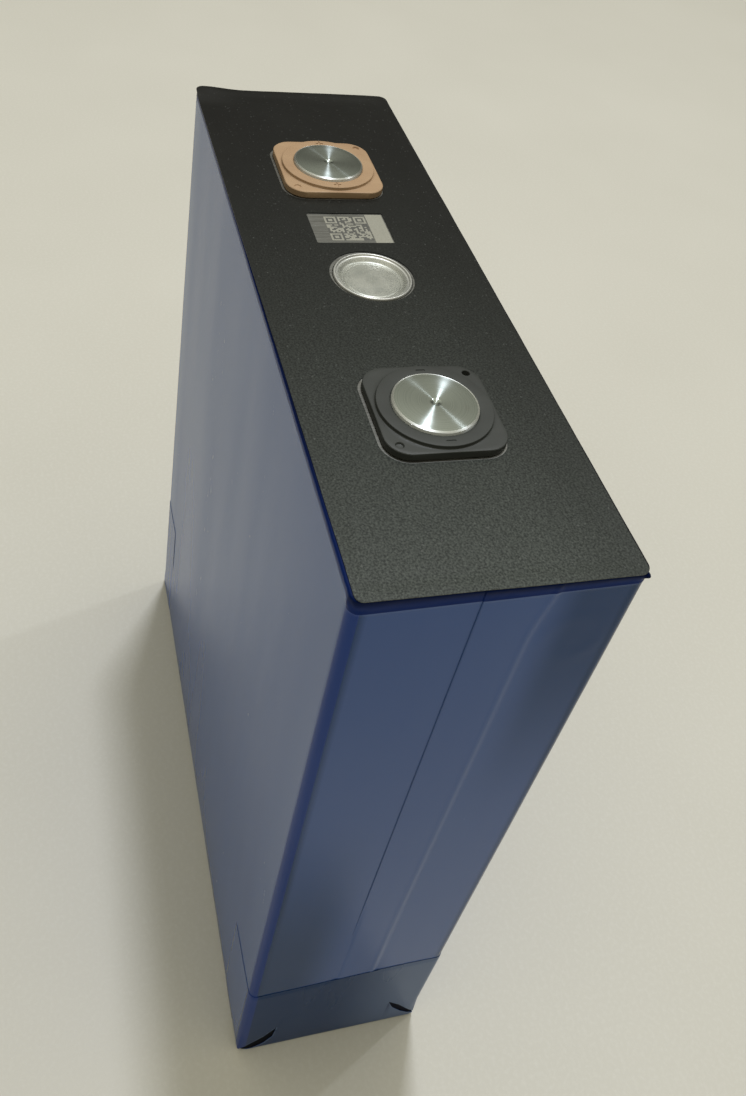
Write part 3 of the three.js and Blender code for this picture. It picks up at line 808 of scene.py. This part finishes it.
def wrap_finish(walk, level):
    """Stuck to the can, loose at the top, under a corner patch in near-black painted shadow, or taut on an
    upright edge.
    """
    place, _ = around(walk)
    # Under a patch the wrap gets the near-black painted shadow that is seen through the slits.
    if abs(place.x) > STRAIGHT_X - 6 * MM and level < 34 * MM:
        return SHADED_UNDER_PATCH
    band = BAND_FOOT if abs(place.x) > STRAIGHT_X else SIDE_BAND_FOOT
    if level >= band - 1e-9:
        return LOOSE
    on_edge = min(abs(place.x) - STRAIGHT_X, abs(place.y) - STRAIGHT_Y) > 0.1 * MM
    slack_edge = place.x > 0 and place.y > 0
    return TAUT if on_edge and not slack_edge else STUCK


def make_side_wrap():
    """One strip: from the hidden edge, once round the cell and on over its start."""
    lap_edge = PERIMETER - LAP_EDGE_Y
    columns = spread_along(
        -LAP_HIDDEN_Y,
        (EDGE_START, 1.2 * MM), (EDGE_END, 0.38 * MM),
        (PERIMETER / 2 - STRAIGHT_Y - EDGE_ARC, 1.3 * MM),
        (PERIMETER / 2 + STRAIGHT_Y + EDGE_ARC, 1.1 * MM),
        (PERIMETER - EDGE_END, 2.2 * MM), (PERIMETER - EDGE_START, 0.25 * MM),
        (lap_edge - MM, 0.45 * MM), (lap_edge, 0.2 * MM),
    )
    rows = levels(
        (180 * MM, 4 * MM), (BAND_FOOT - MM, 1.6 * MM),
        (BAND_FOOT, 0.25 * MM), (WRAP_TOP, 0.3 * MM),
    )
    rows += [WRAP_TOP + fold for fold in LIP]
    mesh = sheet_mesh(columns, rows, wrap_point, wrap_shade, wrap_finish)
    piece = new_piece("side_wrap_film", mesh, [BLUE, LOOSE_SHADED_BLUE, SLIT_SHADOW_BLUE, TAUT_SHADED_BLUE])
    return belongs(thicken(piece, BLUE_FILM), "blue_film", "side_wrap")


# ---- The corner patches ----

# Folds of the end flap, on the narrow face: (across, height, half width) along each open slit, and the
# soft creases that run on from them, all in millimetres.
SLITS = [
    [(-27.2, 0.3, 0.9), (-23.6, 2.4, 1.7), (-20.8, 4.8, 2.1), (-18.4, 8.2, 1.5), (-16.6, 14.0, 0.08)],
    [(26.9, 1.2, 0.4), (22.4, 6.2, 1.0), (19.2, 10.8, 1.1), (16.2, 15.6, 0.08)],
]
CREASES = [((-16.8, 12.4), (-16.1, 21.6)), ((16.6, 14.6), (17.0, 5.0))]


def crease_nearness(across, height):
    """1 on a soft crease of the end flap, fading to 0 beside it and towards its far end."""
    most = 0.0
    at = Vector((across, height))
    for start, end in CREASES:
        start, line = Vector(start) * MM, (Vector(end) - Vector(start)) * MM
        share = min(1.0, max(0.0, (at - start).dot(line) / line.length_squared))
        most = max(most, hump((at - start - line * share).length, 0, 0.45 * MM) * (1 - 0.8 * share))
    return most


def pinched(x, y, share):
    """A place on an upright edge, moved out towards a sharp corner."""
    out_x, out_y = abs(x) - STRAIGHT_X, abs(y) - STRAIGHT_Y
    if min(out_x, out_y) <= 0:
        return x, y
    factor = 1 + (hypot(out_x, out_y) / max(out_x, out_y) - 1) * share
    return copysign(STRAIGHT_X + out_x * factor, x), copysign(STRAIGHT_Y + out_y * factor, y)


def slit_tool(slit, side):
    """A closed tool along one slit, through the film of one narrow face."""
    left, right = [], []
    for before, here, after in zip([slit[0]] + slit, slit, slit[1:] + [slit[-1]]):
        along = Vector((after[0] - before[0], after[1] - before[1])).normalized()
        across = Vector((-along.y, along.x)) * here[2]
        left.append((here[0] + across.x, here[1] + across.y))
        right.append((here[0] - across.x, here[1] - across.y))
    outline = [(x * MM, y * MM) for x, y in left + right[::-1]]
    tool = prism(outline, HALF_LENGTH - 9 * MM, HALF_LENGTH + MM)
    turn = Matrix(((0, 0, side, 0), (side, 0, 0, 0), (0, 1, 0, 0), (0, 0, 0, 1)))
    tool.transform(turn)
    return new_tool(tool)


def make_corner_patch(end):
    """Film on the foot of one narrow face, turned round its upright edges and under the cell."""
    side = 1 if end == "negative" else -1
    middle = 0.0 if side > 0 else PERIMETER / 2
    reach = EDGE_END + PATCH_RETURN[end]
    plain, doubled, taut = range(3)

    def flush(level):
        """1 where the patch's upright end edge lies flush with the wrap."""
        return 1.0 if side > 0 else fall(level, 22 * MM, 32 * MM)

    def point(walk, row):
        across = middle - walk
        level = row
        if row >= FOOT_RADIUS:
            top = through(PATCH_TOP[end], across / MM) * MM
            level = FOOT_RADIUS + (row - FOOT_RADIUS) * (top - FOOT_RADIUS) / PATCH_HEIGHT
        round_edge = ramp(EDGE_END - abs(across), 0, EDGE_ARC)
        layers = 3 if abs(across) < EDGE_START else 2 + round_edge
        layers -= 1.35 * ramp(abs(across), reach - 3 * MM, reach - 0.5 * MM) * flush(level)
        depth = layer_depth(layers) + 0.012 * MM * ripple(walk, 0, level, 9 * MM)
        if level > FOOT_RADIUS * (1 - pi / 2):
            depth += 0.1 * MM * crease_nearness(across, level)
        over_lap = ramp(across, -5.2 * MM, -4 * MM) * fall(across, 7.5 * MM, 9 * MM)
        tucked = round_edge * (1 - over_lap) if side > 0 else round_edge
        depth += 0.12 * MM * tucked * ramp(row, PATCH_HEIGHT - 2 * MM, PATCH_HEIGHT - 0.3 * MM)
        x, y, z = film_point(walk, level, max(0.0, depth))
        return (*pinched(x, y, 0.8 * fall(z, 0, 13 * MM)), z)

    def shade(walk, row):
        across = middle - walk
        place, _ = around(walk)
        narrow = narrowness(place)
        # Painted shadow lines along the patch's top edge and along its upright end edge.
        top_edge = ramp(row, PATCH_HEIGHT - 0.35 * MM, PATCH_HEIGHT - 0.15 * MM)
        top_edge *= 0.3 + 0.1 * ripple(walk, 0, 4, 8 * MM)
        end_edge = 0.5 * ramp(abs(across), reach - 0.4 * MM, reach - 0.2 * MM) * (1 - flush(row))
        # Painted shade at the foot and under the cell.
        foot = 0.25 * ramp(-row, -7 * MM, 3 * MM)
        # Painted dark reflection of the floor's shadow: darkest at the left of the narrow face, and beside
        # the upright edges.
        dark = narrow * (0.97 - 0.77 * ramp(across, -4 * MM, 22 * MM))
        dark += 0.6 * edge_nearness(place) * (1 - narrow)
        # Painted shade in the creases as well.
        return -min(1.0, dark + max(top_edge, end_edge, 0.8 * crease_nearness(across, row), foot))

    def finish(walk, _):
        across = abs(middle - walk)
        if across > EDGE_END - 0.1 * MM:
            return plain
        slack_edge = side > 0 and walk < middle
        return doubled if across < EDGE_START - 0.1 * MM or slack_edge else taut

    half = spread_along(
        -reach, (-reach + MM, 0.25 * MM),
        (-EDGE_END, 1.2 * MM), (-EDGE_START, 0.3 * MM), (0, 0.6 * MM),
    )
    columns = [middle + x for x in half] + [middle - x for x in half[-2::-1]]
    rows = levels(
        (PATCH_HEIGHT - MM, 0.7 * MM), (PATCH_HEIGHT - 0.9 * MM, 0.1 * MM), (PATCH_HEIGHT, 0.15 * MM)
    )
    mesh = sheet_mesh(columns, rows, point, shade, finish)
    piece = new_piece(f"{end}_corner_patch_film", mesh, [BLUE, DOUBLED_SHADED_BLUE, TAUT_SHADED_BLUE])
    thicken(piece, BLUE_FILM)
    shape_with(piece, [slit_tool(slit, side) for slit in SLITS])
    return belongs(soften(piece, 50), "blue_film", f"{end}_corner_patch")


# ---- The flat films ----


def make_panel(name, outline, spacing, height_at, thickness, material):
    """A film of this plan outline, laid on a surface that isn't quite flat."""
    halves = (HALF_LENGTH + MM, HALF_THICKNESS + MM)
    columns, rows = [spread_along(-half, (half, spacing)) for half in halves]
    mesh = sheet_mesh(columns, rows, lambda x, y: (x, y, height_at(x, y)))
    mesh.flip_normals()
    piece = thicken(new_piece(name, mesh, [material]), thickness)
    return shape_with(piece, [new_tool(prism(outline, -1, 1))], "INTERSECT")


def make_bottom_film():
    """The sheet inside the wrap's turned-under borders."""

    def height(x, y):
        return 0.075 * MM + 0.015 * MM * ripple(x, y, 0, 14 * MM)

    length, width = 2 * (HALF_LENGTH - TURNED_UNDER), 2 * (HALF_THICKNESS - TURNED_UNDER)
    outline = rounded_rectangle(length, width, 3 * MM)
    piece = make_panel("bottom_film_sheet", outline, 2.5 * MM, height, 0.06 * MM, BLUE)
    return belongs(soften(piece), "blue_film", "bottom_film")


def top_film_height(x, y):
    """The black film's face, lifted a little at its edges and crumpled in one spot."""
    to_edge = min(FILM_HIGH.x - abs(x), FILM_HIGH.y - abs(y))
    lift = 0.09 * MM * fall(to_edge, 0, 3 * MM) * (0.5 + 0.5 * ripple(x, y, 1, 8 * MM))
    lift += 0.06 * MM * fall(to_edge, 1.5 * MM, 3.5 * MM)  # over the wrap's folded lip
    far = fall(x, FILM_LOW.x, FILM_LOW.x + 6 * MM)
    lift += 0.15 * MM * far * (0.5 + 0.5 * sin(y / (8.5 * MM)))
    curled = fall(y, FILM_LOW.y + 2 * MM, FILM_LOW.y + 13 * MM)
    lift += 0.7 * MM * curled * fall(x, FILM_LOW.x, FILM_LOW.x + 9 * MM)
    swirl = hypot(x - 45.5 * MM, (y - 15.7 * MM) * 1.3)
    lift += 0.05 * MM * hump(swirl, 0, 3.4 * MM) * (1 + ripple(x, y, 2, 1.6 * MM))
    return FILM_TOP + lift


def make_top_film():
    """The black film, with its windows for the terminals, the code and the vent."""
    outline = []
    for walk in spread(0, PERIMETER, 0.5 * MM):
        place, out = around(walk)
        slack = 0.05 * MM * ripple(place.x, place.y, 3, 12 * MM)
        bared = ramp(place.x, -STRAIGHT_X, STRAIGHT_X)
        inset = FILM_INSET + slack + BARED_LIP * bared * max(0.0, -out.y) ** 2
        outline.append(tuple(place - out * inset))
    piece = make_panel("top_film_sheet", outline, 0.8 * MM, top_film_height, 0.15 * MM, BLACK_FILM)
    windows = []
    size, corner = TERMINAL_WINDOW["size"], TERMINAL_WINDOW["corner"]
    for x in (TERMINAL_X, -TERMINAL_X):
        windows.append(rounded_rectangle(size, size, corner, Vector((x, 0)) + TERMINAL_WINDOW["shift"]))
    length, width = CODE_WINDOW["length"], CODE_WINDOW["width"]
    windows.append(rounded_rectangle(length, width, 0.35 * MM, CODE_WINDOW["centre"], 4))
    reach = VENT_WINDOW["radius"]
    windows.append(rounded_rectangle(2 * reach, 2 * reach, reach - 1e-6, VENT_WINDOW["centre"], 24))
    shape_with(piece, [new_tool(prism(window, 0.2, 0.21)) for window in windows])
    return belongs(soften(piece), "black_film", "top_film")


# ---- Terminals ----

FRAME_CORNER = 5 * MM
FRAME_RISE = 1.5 * MM  # above the black film
COLLAR_RADIUS = 11.4 * MM
KEY_HOLE_RADIUS = 0.8 * MM
KEY_HOLE_OFFSET = 9.6 * MM  # from the terminal's middle, along X and along Y
KEY_HOLE_DEPTHS = {"negative": (0.4 * MM, 1.1 * MM), "positive": (0.25 * MM, 0.4 * MM)}


def make_terminal_frame(end, x):
    """The moulding: a rounded square foot and a round collar, hollow for the block and its seal."""
    low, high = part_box(f"{end}_terminal_frame")
    block_low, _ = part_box(f"{end}_terminal_block")
    half = (high.x - low.x) / 2
    foot_top = FILM_TOP + FRAME_RISE
    pocket = 9.7 * MM
    pocket_top = block_low.z + 1.25 * MM
    throat = WELD_RADIUS + 0.06 * MM
    seal_hole = 5.25 * MM
    lead = 0.12 * MM

    # Each point is (reach, height, squareness): 1 is the rounded square and 0 is a circle.
    outline = [
        (seal_hole, low.z, 0),
        (half, low.z, 1),
        (half - 0.08 * MM, foot_top, 1),
        (COLLAR_RADIUS, foot_top, 0),
        (COLLAR_RADIUS - 0.05 * MM, high.z, 0),
        (throat + 0.45 * MM, high.z - 0.02 * MM, 0),
        (throat, high.z - lead, 0),
        (throat, pocket_top, 0),
        (pocket, pocket_top, 0),
        (pocket, block_low.z - 0.05 * MM, 0),
        (seal_hole, block_low.z - 0.05 * MM, 0),
    ]
    profile = rounded_profile(outline, 0.22 * MM, 3)

    def reach(point, angle):
        square = square_reach(point[0], max(1.5 * MM, FRAME_CORNER - (half - point[0])), angle)
        return point[0] + (square - point[0]) * point[2]

    moulding = loft(profile, reach, 128, True)
    piece = new_piece(f"{end}_terminal_frame_moulding", moulding, [PLASTIC[end]])
    tools = []
    for sign, depth in zip((1, -1), KEY_HOLE_DEPTHS[end]):
        hole = [(0, foot_top - depth - 0.15 * MM), (KEY_HOLE_RADIUS * 0.9, foot_top - depth)]
        hole += offsets(KEY_HOLE_RADIUS, foot_top, [(0, -0.1), (0.15, 0.05), (0.15, 0.5)])
        hole += [(0, foot_top + 0.5 * MM)]
        place = (sign * KEY_HOLE_OFFSET, -sign * KEY_HOLE_OFFSET, 0)
        tools.append(new_tool(loft(hole, None, 32), place))
    for sign in (1, -1):
        tools += sign_marks(end == "positive", sign * (WELD_RADIUS + COLLAR_RADIUS) / 2, high.z)
    shape_with(piece, tools)
    soften(piece, 32)
    piece.location = (x, 0, 0)
    slot = "black_plastic" if end == "negative" else "tan_plastic"
    return belongs(piece, slot, f"{end}_terminal_frame")


def sign_marks(positive, x, top):
    """The plus or minus sign sunk into the collar on one side, as cutting tools."""
    length, width, depth = 1.9 * MM, 0.42 * MM, 0.16 * MM
    bars = [(width, length), (length, width)] if positive else [(width, length)]
    outlines = [rounded_rectangle(*bar, 0.15 * MM, (x, 0), 3) for bar in bars]
    return [new_tool(prism(outline, top - depth, top + MM)) for outline in outlines]


def make_terminal_block(end, x):
    """The aluminium block: turned, with a chamfered weld face and the mark of the centre drill."""
    low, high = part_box(f"{end}_terminal_block")
    flange = high.x - x
    pocket = 3.5 * MM
    pocket_top = low.z + 1.65 * MM
    outline = [(pocket, low.z), (flange, low.z), (flange, low.z + 1.2 * MM)]
    outline += [(WELD_RADIUS, low.z + 1.2 * MM), (WELD_RADIUS, high.z - 0.55 * WELD_CHAMFER)]
    outline += [(WELD_RADIUS - WELD_CHAMFER, high.z - 0.01 * MM)]
    outline += offsets(0, high.z, [(1.15, 0), (0.75, -0.12), (0.3, -0.42)])
    profile = rounded_profile(outline, 0.07 * MM, 2)
    profile += [(0, high.z - 0.45 * MM), (0, pocket_top), (pocket, pocket_top)]
    mesh = loft(profile, closed=True)
    piece = new_piece(f"{end}_weld_block", mesh, [TURNED], (x, 0, 0))
    return belongs(soften(piece, 25), "turned_aluminium", f"{end}_terminal_block")


# ---- Vent ----


def make_vent_disc():
    """The burst disc: a rolled rim, a sloping wall and a floor with a scored ring."""
    radius, rim = VENT_HIGH.x, VENT_HIGH.z
    foot = VENT_LOW.z + 0.05 * MM
    floor = rim - 1.3 * MM
    neck = 6.6 * MM
    outline = [(neck, foot), (neck, rim - 1.6 * MM)]
    outline += offsets(radius, rim, [(0, -1.6), (0, -0.3), (-0.2, 0), (-0.5, 0)])
    outline += offsets(radius, rim, [(-0.7, -0.4), (-0.95, -0.45)])
    outline += offsets(radius, floor, [(-1.75, 0.15), (-2.1, 0), (-2.4, 0)])
    outline += offsets(radius, floor, [(-2.5, -0.08), (-2.6, -0.08), (-2.75, 0.02)])  # the score
    outline += offsets(0, floor, [(2.5, 0.15), (0.02, 0.17)])
    profile = [(0, foot)] + rounded_profile(outline, 0.2 * MM, 4) + [(0, floor + 0.17 * MM)]
    piece = new_piece("vent_disc_pressing", loft(profile), [VENT])
    return belongs(soften(piece, 40), "vent_aluminium", "vent_disc")


def make_vent_cover():
    """The clear film over the vent, drawn down a little in the middle."""
    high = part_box("vent_cover_film")[1]
    radius = high.x
    edge = high.z - 0.02 * MM
    thickness = 0.1 * MM
    radii = spread_along(0, (radius, radius / 12))
    top = [(r, edge - 0.08 * MM * (1 - (r / radius) ** 2)) for r in radii]
    bottom = [(r, z - thickness) for r, z in reversed(top)]
    piece = new_piece("vent_cover_sheet", loft(top + bottom), [CLEAR])
    return belongs(soften(piece), "clear_film", "vent_cover_film")


# ---- The code on the lid ----

CODE_CELLS = 21  # along each side of the code
CODE_PITCH = 0.47 * MM
CODE_CORNER = Vector((-24.3 * MM, -5.6 * MM))
CODE_EYES = [(0, 0), (0, CODE_CELLS - 6), (CODE_CELLS - 6, 0)]  # lowest cells of the three square eyes
FROSTED, SCORCHED = range(2)


def flat_block(shape, low_corner, size, low, high, finish):
    """A thin block on the lid, with one finish all over."""
    (x, y), (length, width) = low_corner, size
    outline = [(x, y), (x + length, y), (x + length, y + width), (x, y + width)]
    for face in add_prism(shape, outline, low, high):
        face.material_index = finish


def cell_is_lit(i, j, by_chance):
    """Cells in and round the eyes are settled, and the others are lit by chance."""
    for eye_i, eye_j in CODE_EYES:
        a, b = i - eye_i, j - eye_j
        if -1 <= a <= 6 and -1 <= b <= 6:
            ring = a in (0, 5) or b in (0, 5)
            heart = a in (2, 3) and b in (2, 3)
            return 0 <= a <= 5 and 0 <= b <= 5 and (ring or heart)
    return by_chance


def make_code_marks():
    """A square of frosted cells on a burnt ground, set at random, which spells nothing."""
    draw = random.Random(7)
    side = CODE_CELLS * CODE_PITCH
    lid_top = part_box("lid_plate")[1].z
    low, high = lid_top + 0.004 * MM, lid_top + 0.016 * MM
    shape = bmesh.new()
    flat_block(shape, CODE_CORNER, (side, side), low, high - 0.006 * MM, SCORCHED)

    # A frosted panel fills the window beside the code.
    margin = 0.3 * MM
    length = CODE_WINDOW["length"] - 2 * margin
    start = CODE_CORNER.y + side + margin
    middle_x, middle_y = CODE_WINDOW["centre"]
    width = middle_y + CODE_WINDOW["width"] / 2 - start - margin
    flat_block(shape, (middle_x - length / 2, start), (length, width), low, high, FROSTED)

    cell_size = (CODE_PITCH * 0.97, CODE_PITCH * 0.97)
    for i in range(CODE_CELLS):
        for j in range(CODE_CELLS):
            if cell_is_lit(i, j, draw.random() < 0.52):
                cell = (CODE_CORNER.x + i * CODE_PITCH, CODE_CORNER.y + j * CODE_PITCH)
                flat_block(shape, cell, cell_size, low, high, FROSTED)
    piece = new_piece("code_marks", as_mesh(shape), [ETCHED, BURNT])
    return belongs(piece, "can_aluminium")


make_side_wrap()
for end, x in (("negative", TERMINAL_X), ("positive", -TERMINAL_X)):
    make_corner_patch(end)
    make_terminal_frame(end, x)
    make_terminal_block(end, x)
make_bottom_film()
make_top_film()
make_vent_disc()
make_vent_cover()
make_code_marks()


# ---- Floor, lights and camera ----


def make_floor():
    """A plain pale floor."""
    mesh = bpy.data.meshes.new("floor")
    shape = bmesh.new()
    bmesh.ops.create_grid(shape, x_segments=24, y_segments=24, size=6.0)
    shape.to_mesh(mesh)
    shape.free()
    floor = new_piece("floor", mesh, [make_floor_material()])


LAMP_DISTANCE = 2.0


def make_lamp(name, direction, size, power, tint):
    """A soft square lamp that looks at the middle of the lid."""
    lamp = bpy.data.lights.new(name, "AREA")
    lamp.shape = "RECTANGLE"
    lamp.size = lamp.size_y = size
    lamp.energy = power
    lamp.color = tint
    holder = bpy.data.objects.new(name, lamp)
    way = Vector(direction).normalized()
    holder.location = way * LAMP_DISTANCE + Vector((0, 0, FILM_TOP))
    holder.rotation_mode = "QUATERNION"
    holder.rotation_quaternion = way.to_track_quat("Z", "Y")
    scene.collection.objects.link(holder)


def make_world():
    """A pale room: lighter overhead than at the horizon."""
    world = bpy.data.worlds.new("studio")
    world.use_nodes = True
    scene.world = world
    sky = Nodes(world.node_tree)
    way = sky.add("TexCoord").outputs["Generated"]
    up = sky.add("SeparateXYZ", {"Vector": way}).outputs["Z"]
    glow = sky.blend(sky.remap(up, 0.36, 1.0), (0.1, 0.095, 0.078), (1.1, 1.06, 0.88))
    sky.feed(sky.tree.nodes["Background"].inputs["Color"], glow)


CAMERA_PLACE = Vector((180.7 * MM, -71.2 * MM, 331.1 * MM))
LOOK_AZIMUTH = radians(157.234)  # from +X towards +Y
LOOK_ELEVATION = radians(-42.275)
CAMERA_ROLL = radians(12.642)


def make_camera():
    """Looks down on the negative end, as a hand-held phone does."""
    flat, rise = cos(LOOK_ELEVATION), sin(LOOK_ELEVATION)
    forward = Vector((flat * cos(LOOK_AZIMUTH), flat * sin(LOOK_AZIMUTH), rise))
    level_right = forward.cross(Vector((0, 0, 1))).normalized()
    level_up = level_right.cross(forward)
    right = level_right * cos(CAMERA_ROLL) + level_up * sin(CAMERA_ROLL)
    up = right.cross(forward)
    camera = bpy.data.cameras.new("camera")
    camera.lens = 34.571
    camera.shift_x = 0.01695
    camera.shift_y = -0.09104
    camera.clip_start = 0.01
    holder = bpy.data.objects.new("camera", camera)
    turn = Matrix((right, up, -forward)).transposed()
    holder.matrix_world = Matrix.Translation(CAMERA_PLACE) @ turn.to_4x4()
    scene.collection.objects.link(holder)
    scene.camera = holder


make_floor()
make_world()
make_lamp("overhead", (-0.265, 0.107, 1.0), 0.17, 19.5, (0.87, 0.9, 1.0))
make_lamp("side_lamp", (-0.234, 0.564, 0.79), 0.06, 3.5, (0.9, 0.93, 1.0))
make_camera()
scene.view_settings.view_transform = "Standard"
